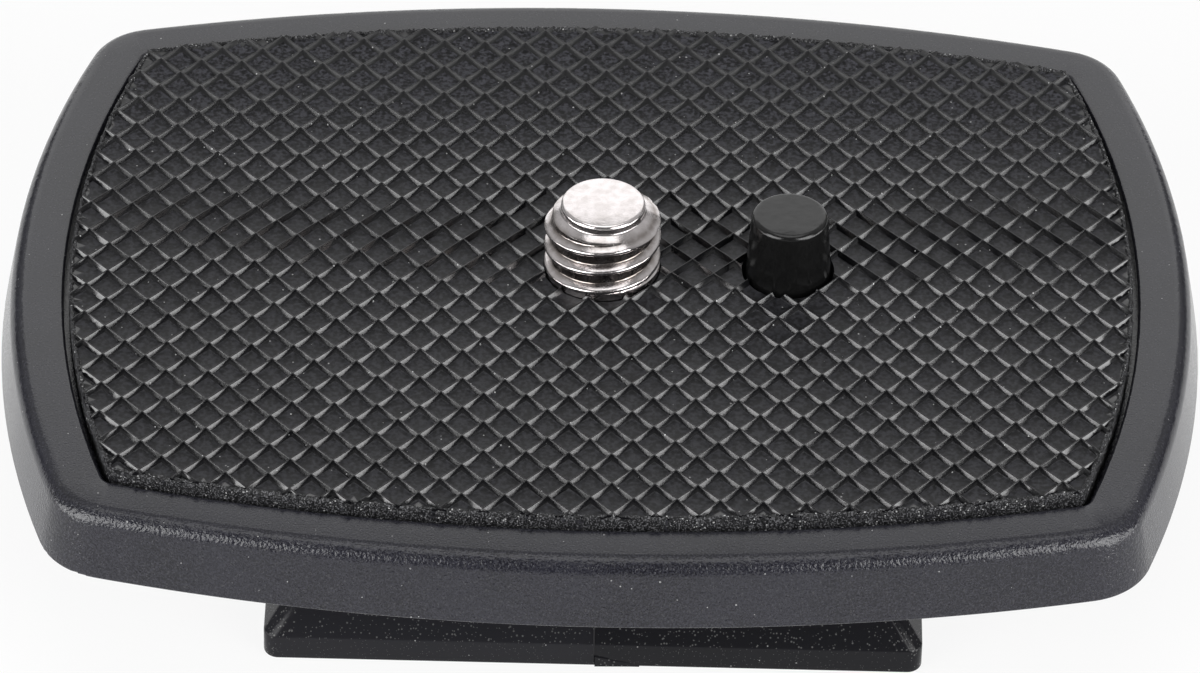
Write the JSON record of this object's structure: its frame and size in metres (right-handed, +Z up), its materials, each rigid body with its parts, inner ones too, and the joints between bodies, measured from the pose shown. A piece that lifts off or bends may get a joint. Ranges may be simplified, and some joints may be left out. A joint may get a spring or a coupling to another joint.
{
  "type": "tripod quick release plate",
  "caption": "Black plastic quick release plate for a camera tripod, with a ridged rubber pad, a captive camera screw with a folding ring, a sprung anti-twist pin and a dovetail foot.",
  "frame": {"origin": "on the camera screw's axis, at the bottom of the dovetail foot", "axes": "+Z up to the camera, +X from the screw towards the anti-twist pin, +Y away from the picture's viewer"},
  "size_m": [0.065, 0.051, 0.0179],
  "materials": {
    "body_plastic": "fine spark-eroded grain",
    "pad_rubber": "matt",
    "screw_metal": "bright nickel plating",
    "pin_plastic": "satin",
    "cap_plastic": "satin",
    "wire_steel": "drawn wire",
    "clip_steel": "black oxide"
  },
  "bodies": {
    "plate": {"plate_body": "body_plastic", "rubber_pad": "pad_rubber", "spring_cap": "cap_plastic", "pin_spring": "wire_steel"},
    "screw": {"camera_screw": "screw_metal", "screw_clip": "clip_steel"},
    "ring": {"d_ring": "wire_steel"},
    "pin": {"anti_twist_pin": "pin_plastic"}
  },
  "joints": [
    {"name": "screw_turn", "type": "hinge", "parent": "plate", "child": "screw", "pos_m": [0, 0, 0], "axis": [0, 0, 1], "continuous": true},
    {"name": "ring_fold", "type": "hinge", "parent": "screw", "child": "ring", "pos_m": [0, 0, 0.0018], "axis": [0, -1, 0], "range_deg": [0, 180]},
    {"name": "pin_press", "type": "slide", "parent": "plate", "child": "pin", "axis": [0, 0, -1], "range_m": [0, 0.0034], "stiffness_N_per_m": 300, "springref_m": -0.004, "deforming": ["pin_spring"]}
  ]
}
